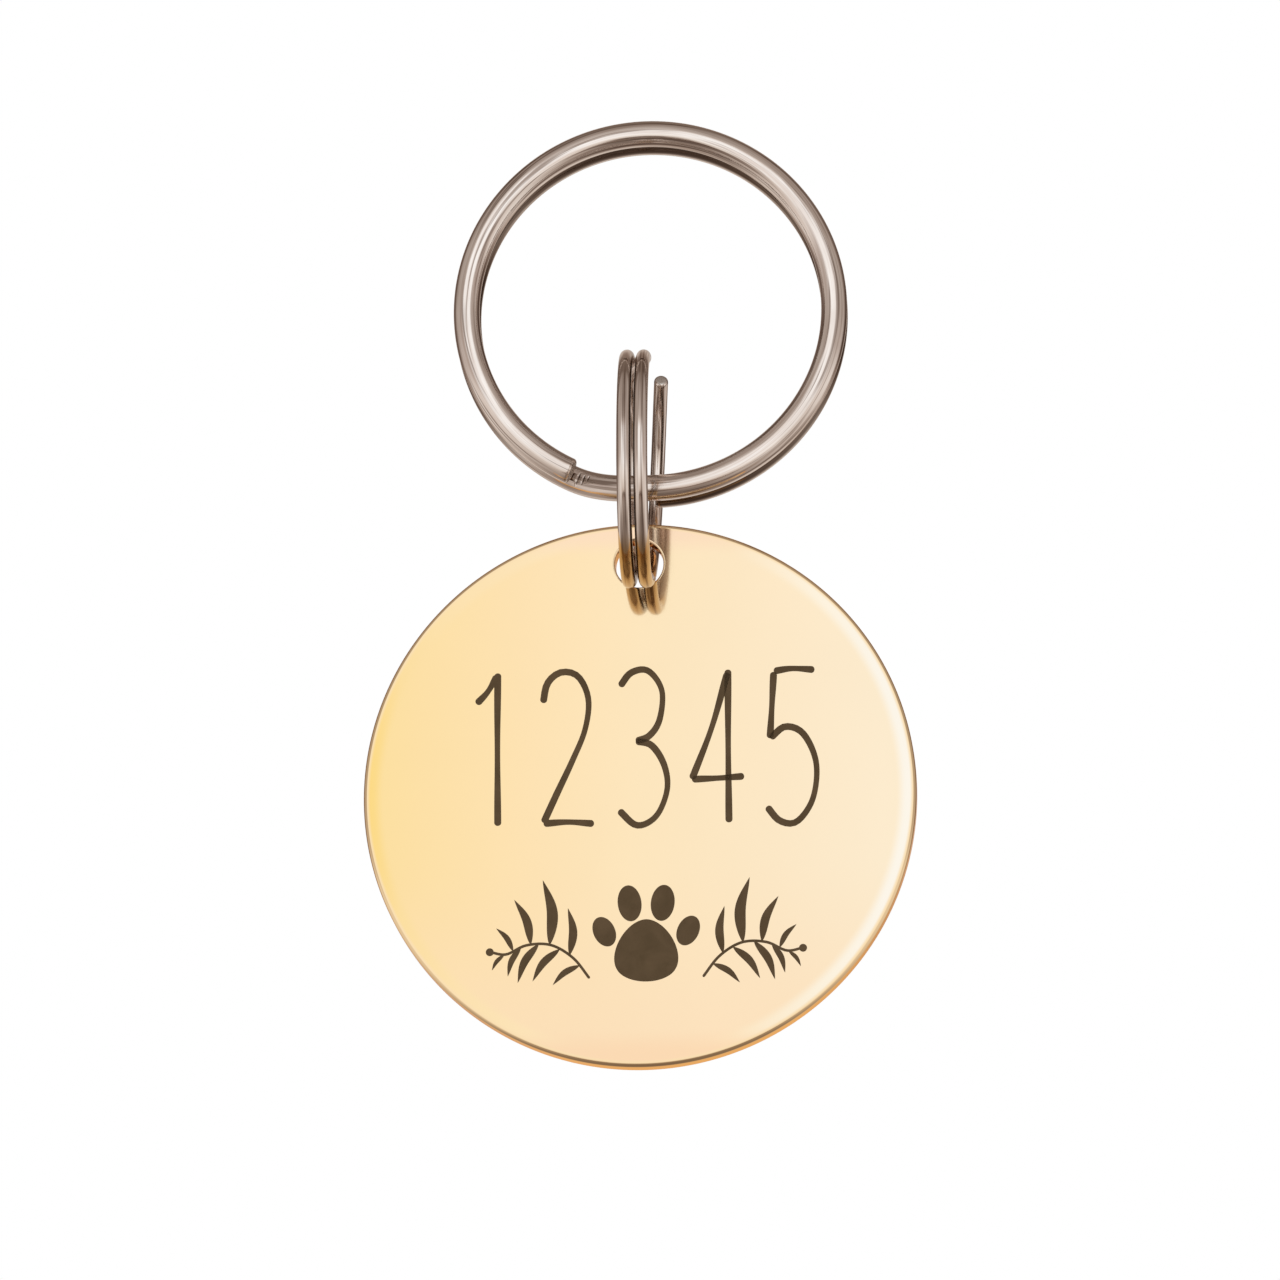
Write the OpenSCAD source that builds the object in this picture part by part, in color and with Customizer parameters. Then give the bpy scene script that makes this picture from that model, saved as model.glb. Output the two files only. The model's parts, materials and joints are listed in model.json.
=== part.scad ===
// Round metal pet tag on two split rings.
// A polished disc hangs by the hole near its rim on a small split ring, and the small
// ring is threaded on a large one, which goes on the collar. Each split ring is one
// length of round spring wire wound twice round, with a step where the wire crosses
// from its front turn to its back turn and a cut end on either side of that step.
// The origin is the middle of the large ring. X is to the right, Y goes away from
// whoever reads the tag and Z is up. All sizes are in millimetres.

/* [Tag disc] */
// Diameter of the disc
tag_d = 25; // [20:0.5:32]
// Thickness of the disc
tag_t = 1.1; // [1:0.1:1.2]
// Radius of the polished edge round the disc
tag_edge_r = 0.2; // [0.1:0.05:0.4]
// Diameter of the hole for the small ring
hole_d = 2.2; // [2.2:0.1:3.2]
// Radius of the polished edge round the hole
hole_edge_r = 0.1; // [0.05:0.01:0.2]
// Metal left between the hole and the rim of the disc
bridge_w = 0.75; // [0.4:0.05:0.9]

/* [Small split ring] */
// Outside diameter of the small ring
small_od = 10.8; // [10.6:0.1:13]
// Diameter of its wire
small_wire = 0.65; // [0.6:0.05:0.7]
// Gap between its two turns
small_gap = 0.1; // [0.05:0.01:0.15]
// Angle of the step where its wire changes turns
small_step = 32; // [30:1:45]
// Angle of its first cut end, up from the back of the ring
small_cut_at = 67; // [50:1:80]
// How far the spring of the wire holds its first cut end away from the other turn
small_open = 0.65; // [0.1:0.05:0.8]
// Angle over which its wire bends away to that end
small_open_turn = 165; // [120:5:220]

/* [Large split ring] */
// Outside diameter of the large ring
large_od = 18; // [16:0.5:24]
// Diameter of its wire
large_wire = 1.2; // [1:0.1:1.5]
// Gap between its two turns
large_gap = 0.06; // [0.05:0.01:0.2]
// Angle of the step where its wire changes turns
large_step = 27; // [24:1:40]
// Angle from its lowest point, towards the left, of its first cut end
large_cut_at = 25.5; // [20:0.5:60]

/* [Wire ends] */
// Length of the bevelled tip on a cut end, and how much it narrows
end_bevel = 0.06; // [0.02:0.01:0.15]

/* [How the pieces lie] */
// How far the small ring sits to the left of the large ring's lowest point
link_left = 0.5; // [0:0.1:1]
// How far the middle of the small ring lies above the large ring's wire
link_high = 0.15; // [0:0.05:0.5]
// Clearance between the large ring's wire and the inside of the small ring
link_clear = 0.12; // [0.05:0.01:0.3]
// Turn of the small ring and the tag, their fronts to the left
link_turn = 0; // [-4:0.5:4]
// Angle down from the back of the small ring to the place where the tag hangs on it
tag_down = 49; // [48:1:58]
// Tilt of the tag, its lower edge to the back
tag_tilt = 1; // [0:0.5:6]
// Turn of the tag on the small ring, its front to the left
tag_turn = 1.5; // [0:0.5:2.5]
// How far the hole's middle is over the middle of the wire in it
hole_high = 0.08; // [0:0.01:0.12]

/* [Hidden] */
$fn = 96;
// Faces round a bent stretch of wire
bend_sides = 32;
// Sections along the step between two turns, and along a bend to an open end
step_sections = 14;
open_sections = 40;
// Thickness of a bent stretch as a share of the wire's, so that it enters a turn's end
bend_share = 0.985;
// How the bend to an open end grows along its length
open_power = 1.5;
// How far a cut runs past the face it starts from
overrun = 1;

tag_r = tag_d / 2;
hole_r = hole_d / 2;
// From the middle of the hole to the middle of the disc
hole_to_middle = tag_r - bridge_w - hole_r;

small_r = (small_od - small_wire) / 2;
small_pitch = small_wire + small_gap;
large_r = (large_od - large_wire) / 2;
large_pitch = large_wire + large_gap;

// Where the large ring's wire crosses the small ring
link_x = -link_left;
link_z = -sqrt(large_r * large_r - link_left * link_left);
// The small ring stands out to the front, its back resting behind the large ring's wire
small_reach = small_r - small_wire / 2 - link_clear - (large_pitch + large_wire) / 2;
small_middle = [0, -small_reach, link_high];

// Angle round the small ring at which its wire is a given way behind the tag's middle plane
function wire_angle(behind) =
    tag_tilt - acos(cos(-tag_down - tag_tilt) + behind / small_r);
// Height of the wire there, along the tag, from where it crosses that plane
function wire_rise(behind) =
    small_r * (sin(wire_angle(behind) - tag_tilt) - sin(-tag_down - tag_tilt));
// The hole's middle lies a little over half way between where the wire enters and leaves
hole_lift = (wire_rise(-tag_t / 2) + wire_rise(tag_t / 2)) / 2 + hole_high;
hole_middle = small_middle
    + [0,
       small_r * cos(tag_down) - hole_lift * sin(tag_tilt),
       -small_r * sin(tag_down) + hole_lift * cos(tag_tilt)];

// A ring of round wire wound twice round Z. The front turn is the upper one. Seen from
// above, the wire goes counterclockwise round the back turn up to its cut end at
// cut_at + step, and round the front turn up to its cut end at cut_at. Between those two
// places it steps up from the start of the back turn to the start of the front turn.
// The front turn's cut end may spring away upwards by open, over the angle open_turn.
module split_ring(ring_r, wire_d, pitch, cut_at, step, open = 0, open_turn = 0) {
    wire_r = wire_d / 2;
    half = pitch / 2;
    turn(ring_r, wire_r, half, cut_at + step, 360 - step - open_turn);
    turn(ring_r, wire_r, -half, cut_at + step, 360 - step);
    cut_end(ring_r, wire_r, -half, cut_at + step, -1);
    bent_wire(wire_r * bend_share, [for (i = [-1 : step_sections])
        let (t = (i + 1 / 2) / step_sections)
        ring_point(ring_r, cut_at + step * t, pitch * ease(t) - half)]);
    if (open_turn == 0)
        cut_end(ring_r, wire_r, half, cut_at, 1);
    else
        bent_wire(wire_r * bend_share, [for (i = [-1 : open_sections])
            let (t = (i + 1 / 2) / (open_sections + 1 / 2))
            ring_point(ring_r, cut_at + open_turn * (t - 1), half + open * grow(t))], end_bevel);
}

// Part of a turn of wire, at one height
module turn(ring_r, wire_r, height, from, angle) {
    rotate([0, 0, from])
        rotate_extrude(angle = angle)
            translate([ring_r, height])
                circle(r = wire_r);
}

// The narrowed tip on a turn's cut end, half of it inside the turn: it points on round
// the ring when way is 1, and back when way is -1
module cut_end(ring_r, wire_r, height, at, way) {
    rotate([0, 0, at])
        translate([ring_r, 0, height])
            rotate([-90 * way, 0, 0])
                cylinder(r1 = wire_r - end_bevel / 4, r2 = wire_r - end_bevel,
                         h = 2 * end_bevel, center = true);
}

// Smooth run from 0 to 1, level before and after
function ease(t) = t < 0 ? 0 : t > 1 ? 1 : t * t * (3 - 2 * t);
// Growth from 0 to 1 that starts level and ends steepest
function grow(t) = t < 0 ? 0 : pow(t, open_power);
function unit(v) = v / norm(v);
function ring_point(ring_r, at, height) = [ring_r * cos(at), ring_r * sin(at), height];

// Round section, square to the way along, about a point of the wire's middle line
function section(middle, along, wire_r) =
    let (radial = unit([middle[0], middle[1], 0]),
         outwards = unit(radial - along * (along * radial)),
         sideways = cross(along, outwards))
    [for (i = [0 : bend_sides - 1])
        let (turn = 360 * i / bend_sides)
        middle + wire_r * (cos(turn) * outwards + sin(turn) * sideways)];

// Round wire through a list of points, with a narrowed tip on its far end if tip isn't 0
module bent_wire(wire_r, middles, tip = 0) {
    n = bend_sides;
    last = len(middles) - 1;
    ways = [for (i = [0 : last]) unit(middles[min(i + 1, last)] - middles[max(i - 1, 0)])];
    sections = concat(
        [for (i = [0 : last]) section(middles[i], ways[i], wire_r)],
        tip == 0 ? [] : [section(middles[last] + tip * ways[last], ways[last], wire_r - tip)]);
    ends_at = (len(sections) - 1) * n;
    walls = [for (j = [0 : len(sections) - 2], i = [0 : n - 1])
        let (k = (i + 1) % n, a = j * n, b = (j + 1) * n)
        each [[a + i, b + i, b + k], [a + i, b + k, a + k]]];
    caps = [[for (i = [0 : n - 1]) i], [for (i = [n - 1 : -1 : 0]) ends_at + i]];
    polyhedron(points = [for (one = sections) each one], faces = concat(walls, caps));
}

// Half of the disc's section, from its middle out to its rounded rim
module disc_section() {
    flat_r = tag_r - tag_edge_r;
    rim_t = tag_t - 2 * tag_edge_r;
    translate([0, -tag_t / 2])
        square([flat_r, tag_t]);
    translate([0, -rim_t / 2])
        square([tag_r, rim_t]);
    for (side = [1, -1])
        translate([flat_r, side * rim_t / 2])
            circle(r = tag_edge_r);
}

// What is cut away for the hole: its bore, flared where it meets each face
module hole_cut() {
    flare_r = hole_r + hole_edge_r;
    flare_z = tag_t / 2 - hole_edge_r;
    cylinder(r = hole_r, h = tag_t + 2 * overrun, center = true);
    for (side = [0, 1])
        mirror([0, 0, side])
            rotate_extrude()
                difference() {
                    translate([0, flare_z])
                        square([flare_r, hole_edge_r + overrun]);
                    translate([flare_r, flare_z])
                        circle(r = hole_edge_r);
                }
}

module large_split_ring() {
    color("silver")
        rotate([90, 0, 0])
            split_ring(large_r, large_wire, large_pitch, -90 - large_cut_at, large_step);
}

// What hangs on the large ring, drawn from the middle of the large ring's wire
module on_large_ring() {
    translate([link_x, 0, link_z])
        rotate([0, 0, -link_turn])
            children();
}

module small_split_ring() {
    color("silver")
        on_large_ring()
            translate(small_middle)
                rotate([0, 0, 90])
                    rotate([90, 0, 0])
                        split_ring(small_r, small_wire, small_pitch, small_cut_at, small_step,
                                   small_open, small_open_turn);
}

module tag_disc() {
    color("gold")
        on_large_ring()
            translate(hole_middle)
                rotate([90 + tag_tilt, 0, -tag_turn])
                    difference() {
                        translate([0, -hole_to_middle, 0])
                            rotate_extrude()
                                disc_section();
                        hole_cut();
                    }
}

large_split_ring();
small_split_ring();
tag_disc();
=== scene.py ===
"""A round polished pet tag on two split rings, dressed in Blender over its CAD frame.

The tag is a mirror-bright brass disc with dark marks on its front face. It hangs on a
small split ring, which hangs on a large one, both of plated spring wire. Sizes in the
classes are millimetres, as in the part's source. Each piece is modelled in them and is
brought to its place in metres when it is finished.
"""
import json
import logging
import math
from bisect import bisect_right
from collections.abc import Callable
from dataclasses import dataclass
from enum import Enum

import bmesh
import bpy
from mathutils import Matrix, Vector

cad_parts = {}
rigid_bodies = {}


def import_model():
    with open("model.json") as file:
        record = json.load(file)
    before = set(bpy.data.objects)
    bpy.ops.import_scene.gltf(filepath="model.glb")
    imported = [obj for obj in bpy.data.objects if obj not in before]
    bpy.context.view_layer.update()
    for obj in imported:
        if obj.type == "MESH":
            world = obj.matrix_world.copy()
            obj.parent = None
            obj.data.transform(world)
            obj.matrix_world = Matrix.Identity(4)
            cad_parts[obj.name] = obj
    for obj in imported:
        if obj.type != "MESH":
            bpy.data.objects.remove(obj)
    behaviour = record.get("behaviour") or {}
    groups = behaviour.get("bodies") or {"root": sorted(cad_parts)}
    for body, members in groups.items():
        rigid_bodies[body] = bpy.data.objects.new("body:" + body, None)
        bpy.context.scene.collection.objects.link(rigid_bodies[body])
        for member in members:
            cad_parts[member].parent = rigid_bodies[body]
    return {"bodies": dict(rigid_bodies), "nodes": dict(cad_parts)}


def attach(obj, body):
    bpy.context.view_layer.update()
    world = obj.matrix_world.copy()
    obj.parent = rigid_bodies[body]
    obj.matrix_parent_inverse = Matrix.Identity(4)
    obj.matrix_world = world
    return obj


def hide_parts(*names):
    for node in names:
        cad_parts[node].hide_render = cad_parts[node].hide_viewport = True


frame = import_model()

LOG = logging.getLogger("pet_tag")
MM = 0.001
NEAR = 1e-4  # millimetres: what is closer than this counts as one place

Pair = tuple[float, float]
Line = tuple[Pair, ...]
Place = tuple[float, float, float]
Colour = tuple[float, float, float]
Stop = tuple[float, Colour]
Object = bpy.types.Object
Material = bpy.types.Material
Node = bpy.types.Node
Socket = bpy.types.NodeSocket
Group = bpy.types.NodeTree
Value = Socket | float | tuple[float, ...]


# ---------- modelling helpers


def deselect_all() -> None:
    """Leaves object mode with nothing selected, which the CAD nodes are after loading."""
    if bpy.context.object is not None and bpy.context.object.mode != "OBJECT":
        bpy.ops.object.mode_set(mode="OBJECT")
    bpy.ops.object.select_all(action="DESELECT")


def select_only(obj: Object) -> None:
    """Selects one object alone and makes it active.

    Args:
        obj: The object.
    """
    deselect_all()
    obj.select_set(True)
    bpy.context.view_layer.objects.active = obj


def select_edges(obj: Object, wanted: Callable[[Vector, Vector], bool]) -> None:
    """Opens a mesh in edit mode with just the edges selected that a test picks.

    Args:
        obj: The mesh object.
        wanted: Takes the two end points of an edge and says whether it is picked.
    """
    select_only(obj)
    bpy.ops.object.mode_set(mode="EDIT")
    bpy.ops.mesh.select_mode(type="EDGE")
    bpy.ops.mesh.select_all(action="DESELECT")
    mesh = bmesh.from_edit_mesh(obj.data)
    for edge in mesh.edges:
        if wanted(edge.verts[0].co, edge.verts[1].co):
            edge.select = True
    mesh.select_flush_mode()
    bmesh.update_edit_mesh(obj.data)


def turned(degrees: float, axis: str) -> Matrix:
    """Gives the matrix of a turn about an axis through the origin."""
    return Matrix.Rotation(math.radians(degrees), 4, axis)


def settle(obj: Object, place: Matrix, finish: Material) -> None:
    """Brings a piece modelled in millimetres to its place in metres, and finishes it.

    Args:
        obj: The modelled piece, which ends unturned and unscaled at the origin.
        place: Where it goes, in millimetres.
        finish: Its material.
    """
    select_only(obj)
    obj.matrix_world = Matrix.Scale(MM, 4) @ place
    bpy.ops.object.transform_apply(location=True, rotation=True, scale=True)
    obj.data.materials.append(finish)


def apply_modifiers(obj: Object) -> None:
    """Applies every modifier of a piece, in order.

    Args:
        obj: The piece.
    """
    select_only(obj)
    for modifier in list(obj.modifiers):
        bpy.ops.object.modifier_apply(modifier=modifier.name)


def cut_away(obj: Object, cutter: Object, mode: str = "DIFFERENCE") -> None:
    """Cuts one piece with another by a Boolean modifier, and removes the cutter.

    Args:
        obj: The piece that stays.
        cutter: The piece that cuts it, or joins it.
        mode: The Boolean operation.
    """
    change = obj.modifiers.new("cut", "BOOLEAN")
    change.operation = mode
    change.solver = "EXACT"
    change.object = cutter
    apply_modifiers(obj)
    bpy.data.objects.remove(cutter)


# ---------- material helpers


class Sheet:
    """A node tree that is filled in by short calls."""

    def __init__(self, tree: Group) -> None:
        """Starts on an emptied tree."""
        self.tree = tree
        tree.nodes.clear()

    def add(
        self, kind: str, settings: dict | None = None, *values: Value, **sockets: Value,
    ) -> Node:
        """Adds a node and feeds it.

        Args:
            kind: The node's Blender type, less its ShaderNode.
            settings: Properties of the node itself.
            *values: What its input sockets take, in their order.
            **sockets: What they take by name, with _ for a space.

        Returns:
            The new node.
        """
        node = self.tree.nodes.new(f"ShaderNode{kind}")
        for name, value in (settings or {}).items():
            setattr(node, name, value)
        named = {name.replace("_", " "): value for name, value in sockets.items()}
        for name, value in (*enumerate(values), *named.items()):
            self.feed(node, name, value)
        return node

    def feed(self, node: Node, name: str | int, value: Value) -> None:
        """Sets an input socket, or links an output to it.

        Args:
            node: The node.
            name: The socket's name, or its place among the inputs.
            value: The number, vector or colour to set, or the output to link.
        """
        socket = node.inputs[name]
        if isinstance(value, Socket):
            self.tree.links.new(value, socket)
        elif socket.type == "RGBA":
            socket.default_value = (*value, 1.0)
        else:
            socket.default_value = value

    def math(self, operation: str, *values: Value) -> Socket:
        """Adds a Math node and returns its output."""
        return self.add("Math", {"operation": operation}, *values).outputs[0]

    def ramp(self, value: Socket, *stops: Stop) -> Socket:
        """Adds a Color Ramp.

        Args:
            value: The output that drives the ramp.
            *stops: Positions and colours, in rising order.

        Returns:
            Its colour output.
        """
        node = self.add("ValToRGB", Fac=value)
        points = node.color_ramp.elements
        while len(points) < len(stops):
            points.new(1.0)
        for point, (at, colour) in zip(points, stops):
            point.position = at
            point.color = (*colour, 1.0)
        return node.outputs["Color"]

    def mix(self, share: Value, first: Value, second: Value, blend: str = "MIX") -> Socket:
        """Adds a colour Mix node and returns its result."""
        settings = {"data_type": "RGBA", "blend_type": blend}
        return self.add("Mix", settings, Factor=share, A=first, B=second).outputs["Result"]

    def smooth(self, value: Socket, low: float, high: float, ends: Pair = (0.0, 1.0)) -> Socket:
        """Adds a smooth Map Range, which gives the first end at low and the second at high."""
        settings = {"interpolation_type": "SMOOTHSTEP"}
        return self.add("MapRange", settings, value, low, high, *ends).outputs[0]

    def length(self, vector: Socket) -> Socket:
        """Adds a Vector Math node that measures a vector, and returns its output."""
        return self.add("VectorMath", {"operation": "LENGTH"}, vector).outputs["Value"]

    def drawn_noise(self, at: Socket, scale: Place, fine: float, rough: float) -> Socket:
        """Adds noise with a scale of its own in each direction, and returns its output."""
        at = self.add("Mapping", Vector=at, Scale=scale).outputs[0]
        return self.add("TexNoise", Vector=at, Scale=1.0, Detail=fine, Roughness=rough).outputs[0]

    def effect(self, group: Group, at: Socket, scale: float) -> Node:
        """Places one of the shared effects, at a scale per metre."""
        return self.add("Group", {"node_tree": group}, Vector=at, Scale=scale)

    def surface(self, **sockets: Value) -> None:
        """Puts a Principled BSDF on the material's output, its sockets given by name."""
        shader = self.add("BsdfPrincipled", **sockets)
        self.add("OutputMaterial", Surface=shader.outputs[0])


def new_group(name: str, *outputs: str) -> tuple[Sheet, Socket, Socket, Node]:
    """Makes a shader node group that takes a Vector and a Scale.

    Args:
        name: The group's name.
        *outputs: The names of the numbers that it puts out.

    Returns:
        The group's Sheet, the Vector and the Scale that it is given, and its output node.
    """
    group = bpy.data.node_groups.new(name, "ShaderNodeTree")
    for label, kind in (("Vector", "NodeSocketVector"), ("Scale", "NodeSocketFloat")):
        group.interface.new_socket(label, in_out="INPUT", socket_type=kind)
    for label in outputs:
        group.interface.new_socket(label, in_out="OUTPUT", socket_type="NodeSocketFloat")
    sheet = Sheet(group)
    at, scale = group.nodes.new("NodeGroupInput").outputs[:2]
    return sheet, at, scale, group.nodes.new("NodeGroupOutput")


class Effects:
    """Shader node groups that several finishes share."""

    def __init__(self) -> None:
        """Builds both groups once."""
        self.hairlines = self._hairlines()
        self.tarnish = self._tarnish()

    def _hairlines(self) -> Group:
        """Builds fine scratches of cloth and handling, in three crossing directions.

        Returns:
            The group, whose Mask is 1 in a scratch and whose Height is 1 beside it.
        """
        sheet, at, scale, out = new_group("hairline_scratches", "Height", "Mask")
        layers = []
        for turn, stretch, seed in ((0.5, 22.0, 0.0), (-0.9, 18.0, 7.0), (1.3, 26.0, 13.0)):
            crossed = sheet.add(
                "Mapping", Vector=at,
                Location=(seed, seed, 0.0), Rotation=(0.0, 0.0, turn), Scale=(1.0, stretch, 1.0),
            )
            noise = sheet.add(
                "TexNoise", Vector=crossed.outputs[0], Scale=scale, Detail=3.0, Roughness=0.6,
            )
            above = sheet.math("SUBTRACT", noise.outputs[0], 0.62)
            layers.append(sheet.math("MULTIPLY", above, 4.0))
        deepest = sheet.math("MAXIMUM", sheet.math("MAXIMUM", *layers[:2]), layers[2])
        lines = sheet.add("Clamp", Value=deepest).outputs[0]
        sheet.feed(out, "Mask", lines)
        sheet.feed(out, "Height", sheet.math("SUBTRACT", 1.0, lines))
        return sheet.tree

    def _tarnish(self) -> Group:
        """Builds soft patches where a polished metal has dulled or been touched.

        Returns:
            The group, with a Mask of the patches and a finer, cloudy Haze.
        """
        sheet, at, scale, out = new_group("soft_tarnish", "Mask", "Haze")
        broad = sheet.add(
            "TexNoise", Vector=at, Scale=scale, Detail=4.0, Roughness=0.55, Distortion=0.6,
        )
        fine = sheet.add(
            "TexNoise", Vector=at, Scale=sheet.math("MULTIPLY", scale, 9.0), Detail=2.0,
        )
        sheet.feed(out, "Mask", sheet.math("SMOOTH_MIN", broad.outputs[0], 1.0, 0.1))
        haze = sheet.math("MULTIPLY", broad.outputs[0], fine.outputs[0])
        sheet.feed(out, "Haze", sheet.math("MULTIPLY", haze, 2.0))
        return sheet.tree


def new_material(name: str) -> tuple[Material, Sheet]:
    """Makes a material without nodes.

    Args:
        name: The material's name.

    Returns:
        The material and its Sheet.
    """
    material = bpy.data.materials.new(name)
    material.use_nodes = True
    return material, Sheet(material.node_tree)


@dataclass(frozen=True)
class PolishedBrass:
    """The tag's mirror polish: pale gold with fine hairlines, and painted reflections in its
    colour, yellower at one side and other tones near its top, bottom and rim.

    The painted reflection tones run across the disc by millimetres from its middle, given as X and
    Z.
    """

    middle: Pair = (-0.5, -22.57)
    span: float = 30.0
    # painted reflections: the tones across the face stand in for the light that the mirror polish
    # reflects
    reflection_tones: tuple[Stop, ...] = (
        (-12.0, (0.985, 0.75, 0.355)), (-10.0, (0.99, 0.752, 0.385)), (-5.0, (0.99, 0.765, 0.45)),
        (0.0, (0.99, 0.795, 0.515)), (6.0, (0.99, 0.815, 0.57)), (11.0, (0.99, 0.84, 0.62)),
    )
    rim_reflection_tones: tuple[Stop, ...] = (
        (-12.5, (0.985, 0.70, 0.215)), (-10.8, (0.985, 0.745, 0.36)), (-8.0, (0.985, 0.765, 0.44)),
        (-4.0, (0.99, 0.785, 0.50)), (4.0, (0.99, 0.80, 0.54)), (8.0, (0.99, 0.89, 0.72)),
        (11.0, (0.99, 0.93, 0.82)),
    )
    low_reflection_tone: Colour = (0.985, 0.745, 0.50)
    edge_reflection_tone: Colour = (0.97, 0.75, 0.46)
    top_reflection_tone: Colour = (0.985, 0.74, 0.525)
    bottom_reflection_tone: Colour = (0.98, 0.71, 0.46)
    warmth: Colour = (1.0, 0.62, 0.30)
    dulled: float = 0.985
    roughness: float = 0.045

    def make(self, effects: Effects) -> Material:
        """Builds the material.

        Args:
            effects: The shared node groups.

        Returns:
            The brass.
        """
        material, sheet = new_material("polished_brass")
        at = sheet.add("TexCoord").outputs["Object"]
        hair = sheet.effect(effects.hairlines, at, 900.0)
        dull = sheet.effect(effects.tarnish, at, 70.0)
        dulled = sheet.ramp(dull.outputs["Mask"], (0.35, (self.dulled,) * 3), (0.6, (1, 1, 1)))
        # the tone carries painted reflections, dulled by the tarnish patches
        tone_with_reflections = sheet.mix(1.0, self.tone_with_reflections(sheet, at), dulled, "MULTIPLY")
        rough = sheet.math("MULTIPLY_ADD", dull.outputs["Haze"], 0.03, self.roughness)
        rough = sheet.math("MULTIPLY_ADD", hair.outputs["Mask"], 0.05, rough)
        bump = sheet.add("Bump", Strength=0.05, Distance=0.00001, Height=hair.outputs["Height"])
        sheet.surface(
            Base_Color=tone_with_reflections, Metallic=1.0, Specular_Tint=self.warmth, Roughness=rough,
            Normal=bump.outputs[0],
        )
        return material

    def tone_with_reflections(self, sheet: Sheet, at: Socket) -> Socket:
        """Gives the brass its tone by place, with painted reflections: across the face, and near
        its rim and edge.

        Args:
            sheet: The material's nodes.
            at: The object coordinates.

        Returns:
            The tone, painted reflections included.
        """
        scale = 1 / (self.span * MM)
        from_middle = sheet.add(
            "Mapping", Vector=at, Scale=(scale, 0.0, scale),
            Location=(-self.middle[0] / self.span, 0.0, -self.middle[1] / self.span),
        ).outputs[0]
        place = sheet.add("SeparateXYZ", Vector=from_middle)
        across = sheet.math("ADD", place.outputs["X"], 0.5)
        tone_with_reflections, rim_reflection_tone = (
            sheet.ramp(across, *((x / self.span + 0.5, colour) for x, colour in reflection_tones))
            for reflection_tones in (self.reflection_tones, self.rim_reflection_tones)
        )
        up, out = place.outputs["Z"], sheet.length(from_middle)
        # painted reflections: other tones low down, near the rim, at the top, at the bottom and on
        # the edge
        for level, start, end, most, colour in (
            (up, -2.4, -12.6, 0.7, self.low_reflection_tone),
            (out, 11.55, 12.05, 1.0, rim_reflection_tone),
            (up, 10.9, 12.1, 1.0, self.top_reflection_tone),
            (up, -10.7, -11.9, 1.0, self.bottom_reflection_tone),
            (out, 12.18, 12.34, 1.0, self.edge_reflection_tone),
        ):
            share = sheet.smooth(level, start / self.span, end / self.span, (0.0, most))
            tone_with_reflections = sheet.mix(share, tone_with_reflections, colour)
        return tone_with_reflections


@dataclass(frozen=True)
class Nick:
    """A small dent that cutting left in the wire.

    Its place and its reach are in millimetres along the wire and in turns round it.
    """

    along: float
    round_at: float
    length: float
    width: float

    def mask(self, sheet: Sheet, wire_map: Socket) -> Socket:
        """Masks the dent.

        Args:
            sheet: The material's nodes.
            wire_map: The wire UV map.

        Returns:
            The mask, 1 in the middle of the dent.
        """
        spot = sheet.add(
            "Mapping", Vector=wire_map, Scale=(1 / self.length, 1 / self.width, 0.0),
            Location=(-self.along / self.length, -self.round_at / self.width, 0.0),
        ).outputs[0]
        return sheet.smooth(sheet.length(spot), 1.0, 0.1)


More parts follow.
